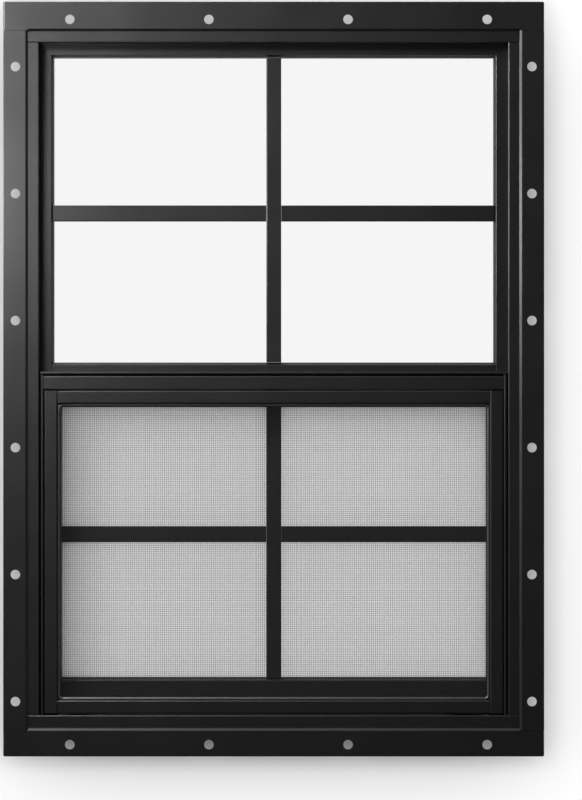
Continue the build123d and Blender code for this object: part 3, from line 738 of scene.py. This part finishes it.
@dataclass(frozen=True)
class WhiteCard:
    """Matt white card that takes the window's shadow.

    Behind the panes it may glow with its own white to the eye and through glass: painted light that
    hides the window's shadow there. In the sheen of the window it may show it all over. It lights
    nothing with it. From behind the card is open, so the window can be seen from the room side too.

    Attributes:
        upper_painted_glow: Share of its own white behind the fixed sash, painted light over the shadow.
        lower_painted_glow: Share of its own white behind the sliding sash, painted light over the shadow.
        lower_painted_shade_mm: Width of the painted shade along that pane's left and top, where its glow
            fades.
        sheen_white: Share of its own white in the sheen.
        pane_margin_mm: How far the painted glow reaches past a pane's edges, where the bars hide its end.
    """

    name: str
    colour: str = "f4f4f4"
    upper_painted_glow: float = 0.0
    lower_painted_glow: float = 0.0
    lower_painted_shade_mm: float = 50.0
    sheen_white: float = 0.0
    pane_margin_mm: float = 8.0

    def material(self) -> bpy.types.Material:
        """Build the card, with the two panes' openings told apart by their place.

        Returns:
            The material.
        """
        material, tree, output = blank_material(self.name)
        card = add_node(tree, "ShaderNodeBsdfDiffuse", inputs={"Color": linear(self.colour)})
        rays = add_node(tree, "ShaderNodeLightPath").outputs
        through = rays["Is Transmission Ray"]
        eye = add_node(tree, MATH, LARGER, {0: rays["Is Camera Ray"], 1: through}).outputs[0]
        mirror = add_node(tree, MATH, SUBTRACT, {0: rays["Is Glossy Ray"], 1: through}).outputs[0]
        own = add_node(tree, MATH, MULTIPLY, {0: mirror, 1: self.sheen_white}).outputs[0]
        # Behind each pane the card glows white to the eye: painted light that covers the window's shadow
        # there
        panes = (
            ("upper_glass", self.upper_painted_glow, 0.0),
            ("lower_glass", self.lower_painted_glow, self.lower_painted_shade_mm),
        )
        for pane, share, fade_mm in panes:
            if share:
                behind = self.behind(tree, pane, fade_mm * MM)
                here = add_node(tree, MATH, MULTIPLY, {0: behind, 1: share}).outputs[0]
                seen = add_node(tree, MATH, MULTIPLY, {0: here, 1: eye}).outputs[0]
                own = add_node(tree, MATH, LARGER, {0: own, 1: seen}).outputs[0]
        glow = add_node(tree, "ShaderNodeEmission", inputs={"Color": linear("ffffff"), "Strength": 1.0})
        front = add_node(
            tree,
            "ShaderNodeMixShader",
            inputs={0: own, 1: card.outputs["BSDF"], 2: glow.outputs["Emission"]},
        )
        away = add_node(tree, "ShaderNodeBsdfTransparent")
        facing = add_node(tree, "ShaderNodeNewGeometry").outputs["Backfacing"]
        surface = add_node(
            tree,
            "ShaderNodeMixShader",
            inputs={0: facing, 1: front.outputs["Shader"], 2: away.outputs["BSDF"]},
        )
        tree.links.new(surface.outputs["Shader"], output.inputs["Surface"])
        return material

    def behind(self, tree: bpy.types.NodeTree, pane: str, fade: float) -> bpy.types.NodeSocket:
        """Tell the part of the card behind a pane from the rest.

        Args:
            tree: Node tree of the card.
            pane: Node of the pane.
            fade: Width of the painted shade along the pane's left and top, or 0 for none.

        Returns:
            A value that is 1 behind the pane, less in the painted shade, and 0 elsewhere.
        """
        low, high = (np.array(corner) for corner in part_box(pane))
        middle, half = (low + high) / 2, (high - low) / 2 + self.pane_margin_mm * MM
        texture = add_node(tree, "ShaderNodeTexCoord").outputs["Object"]
        place = add_node(tree, "ShaderNodeSeparateXYZ", inputs={0: texture})
        across = {0: place.outputs["X"], 1: float(middle[0]), 2: float(half[0])}
        upright = {0: place.outputs["Z"], 1: float(middle[2]), 2: float(half[2])}
        inside = [add_node(tree, MATH, WITHIN, span).outputs[0] for span in (across, upright)]
        here = add_node(tree, MATH, MULTIPLY, {0: inside[0], 1: inside[1]}).outputs[0]
        # Painted shade: the glow fades out along the pane's left and top, as if the frame shaded it
        if fade:
            left, top = float(low[0]), float(high[2])
            shade = Fade("X", (left, left + fade), (0.0, 1.0)), Fade("Z", (top - fade, top), (1.0, 0.0))
            for edge in shade:
                here = add_node(tree, MATH, MULTIPLY, {0: here, 1: edge.at(tree, place)}).outputs[0]
        return here


@dataclass(frozen=True)
class StudioRoom:
    """The room's light by direction, where -Y is straight ahead of the window.

    Dull surfaces get as much from every side as from above, and ever less from below. In the sheen of
    the window the room is dark straight ahead, where the camera stands, and below. It is pale in a ring
    around the camera and to the right, paler to the left, and palest above. The eye sees it as plain
    white, also through glass.

    Attributes:
        dull: Fades that give the strength for dull surfaces when multiplied.
        sheen: The same for the sheen, in parts that are added up.
    """

    dull: Sequence[Fade] = (Fade("Z", (-0.7, 0.1), (0.0, 1.15)),)
    sheen: Sequence[Sequence[Fade]] = (
        # Ring around the camera
        (Fade("Y", (-0.82, -0.6), (0.0, 0.3)), Fade("Y", (-0.5, -0.25), (1.0, 0.0))),
        # Left and right, which fade out downwards
        (
            Fade("X", (-0.8, 0.8), (0.4, 0.2)),
            Fade("Y", (-0.5, -0.25), (0.0, 1.0)),
            Fade("Z", (-0.9, -0.3), (0.0, 1.0)),
        ),
        # Added from above
        (Fade("Z", (0.5, 0.95), (0.0, 0.6)),),
    )

    def build(self) -> None:
        """Make the world."""
        world = bpy.data.worlds.new("studio room")
        bpy.context.scene.world = world
        world.use_nodes = True
        # The room is met only by rays that a surface sends out, so each kind finds its own strength
        world.cycles.sampling_method = "NONE"
        tree = world.node_tree
        tree.nodes.clear()
        rays = add_node(tree, "ShaderNodeLightPath").outputs
        texture = add_node(tree, "ShaderNodeTexCoord").outputs["Generated"]
        way = add_node(tree, "ShaderNodeSeparateXYZ", inputs={0: texture})
        dull = self.strength(tree, way, self.dull)
        sheen, *others = (self.strength(tree, way, part) for part in self.sheen)
        for part in others:
            sheen = add_node(tree, MATH, ADD, {0: sheen, 1: part}).outputs[0]
        to_eye = {0: rays["Is Camera Ray"], 1: rays["Is Transmission Ray"]}
        eye = add_node(tree, MATH, LARGER, to_eye).outputs[0]
        number = {"data_type": "FLOAT"}
        lit = add_node(tree, "ShaderNodeMix", number, {0: rays["Is Glossy Ray"], 2: dull, 3: sheen})
        seen = add_node(tree, "ShaderNodeMix", number, {0: eye, 2: lit.outputs[0], 3: 1.0})
        light = {"Color": linear("ffffff"), "Strength": seen.outputs[0]}
        room = add_node(tree, "ShaderNodeBackground", inputs=light)
        output = add_node(tree, "ShaderNodeOutputWorld")
        tree.links.new(room.outputs["Background"], output.inputs["Surface"])

    @staticmethod
    def strength(
        tree: bpy.types.NodeTree, way: bpy.types.Node, fades: Sequence[Fade]
    ) -> bpy.types.NodeSocket:
        """Multiply fades to one strength.

        Args:
            tree: Node tree of the world.
            way: Node that gives the direction, axis by axis.
            fades: The fades.

        Returns:
            The socket of the strength.
        """
        value = fades[0].at(tree, way)
        for fade in fades[1:]:
            value = add_node(tree, MATH, MULTIPLY, {0: value, 1: fade.at(tree, way)}).outputs[0]
        return value


# Painted light: the backdrop glows white behind the fixed sash and partly behind the sliding sash, over the
# window's shadow
BACKDROP_CARD = WhiteCard("white backdrop card", upper_painted_glow=1.0, lower_painted_glow=0.44, sheen_white=0.8)
FLOOR_CARD = WhiteCard("white floor card")


@dataclass
class Studio:
    """Pale board behind the window, floor, lamps and camera.

    Attributes:
        board_gap: From the window's back to the board.
        board_size: Width of the board and of the floor.
        floor_drop: From the window's foot down to the floor.
        camera_distance: From the flange's front to the camera.
        camera_x: How far right of the window's middle the camera stands.
        camera_z: Its height.
        camera_sensor_mm: Width of its sensor.
        picture_height: Height of what the picture shows at the flange's front.
        boxes: The lamps.
    """

    board_gap: float = 0.002
    board_size: float = 6.0
    floor_drop: float = 0.06
    camera_distance: float = 2.5
    camera_x: float = 0.013
    camera_z: float = 0.2586
    camera_sensor_mm: float = 36.0
    picture_height: float = 0.6002
    boxes: Sequence[SoftBox] = (
        SoftBox("key soft box", (0.03, -1.6, 0.12), (0.0, 0.0, 0.27), (1.1, 1.1), 19.0, Reach.DULL),
        SoftBox(
            "low side strip", (-0.45, -0.252, 0.437), (0.0, 0.0, 0.3), (0.571, 0.1), 5.2, Reach.SHEEN
        ),
        SoftBox(
            "high side box", (-0.575, -0.44, 0.845), (0.031, -0.2, 0.3), (0.472, 0.221), 57.0, Reach.SHEEN
        ),
        SoftBox("upper sheen box", (-0.7, -0.3, 1.6), (-0.1, 0.0, 0.1), (0.8, 0.8), 2.0, Reach.SHEEN),
    )

    def card(
        self, name: str, corners: Sequence[tuple[float, float, float]], finish: WhiteCard
    ) -> bpy.types.Object:
        """Make a flat card with four corners and give it to the stage.

        Args:
            name: Name of the card.
            corners: Its corners, anticlockwise as seen from its white side.
            finish: What it is made of.

        Returns:
            The card.
        """
        card = mesh_from_grid(name, np.array(corners), np.array([[0, 1, 2, 3]]))
        card.data.materials.append(finish.material())
        return card

    @staticmethod
    def left_to_the_room(floor: bpy.types.Object) -> bpy.types.Collection:
        """Gather what the lamps leave alone, so that only the room lights the panes and the floor.

        Args:
            floor: The floor card.

        Returns:
            Collection for the lamps' light linking, with each member excluded.
        """
        unlit = bpy.data.collections.new("lit by the room alone")
        for thing in (floor, frame["nodes"]["upper_glass"], frame["nodes"]["lower_glass"]):
            unlit.objects.link(thing)
        for member in unlit.collection_objects:
            member.light_linking.link_state = "EXCLUDE"
        return unlit

    def build(self) -> None:
        """Set up board, floor, lamps, room and camera."""
        back = CAD_BOX[1][1] + self.board_gap
        half, low = self.board_size / 2, CAD_BOX[0][2] - self.floor_drop
        board = [(-half, back, low), (half, back, low), (half, back, low + half), (-half, back, low + half)]
        floor = [(-half, -half, low), (half, -half, low), (half, half, low), (-half, half, low)]
        self.card("backdrop", board, BACKDROP_CARD)
        ground = self.card("floor", floor, FLOOR_CARD)
        # The floor takes a shadow and sends no light back up
        ground.visible_diffuse = ground.visible_glossy = False
        unlit = self.left_to_the_room(ground)
        for box in self.boxes:
            box.build(unlit)
        StudioRoom().build()
        self.build_camera()

    def build_camera(self) -> None:
        """Stand the camera square on, so that its picture is as tall as the real field of view."""
        data = bpy.data.cameras.new("camera")
        data.sensor_width = self.camera_sensor_mm
        data.lens = data.sensor_width * self.camera_distance / self.picture_height
        camera = bpy.data.objects.new("camera", data)
        bpy.context.scene.collection.objects.link(camera)
        place = (self.camera_x, CAD_BOX[0][1] - self.camera_distance, self.camera_z)
        camera.location = place
        camera.rotation_euler = look_along(place, (self.camera_x, 0.0, self.camera_z))
        bpy.context.scene.camera = camera


def main() -> None:
    """Dress the window, weave its screen and set up the studio."""
    logging.basicConfig(level=logging.INFO, format="%(name)s: %(message)s")
    FrameDressing().apply()
    for piece in WovenScreen().build() + CornerScrews().build():
        log.info("%s: %d faces", piece.name, len(piece.data.polygons))
    Studio().build()
    bpy.context.scene.view_settings.view_transform = "Standard"


if __name__ == "__main__":
    main()
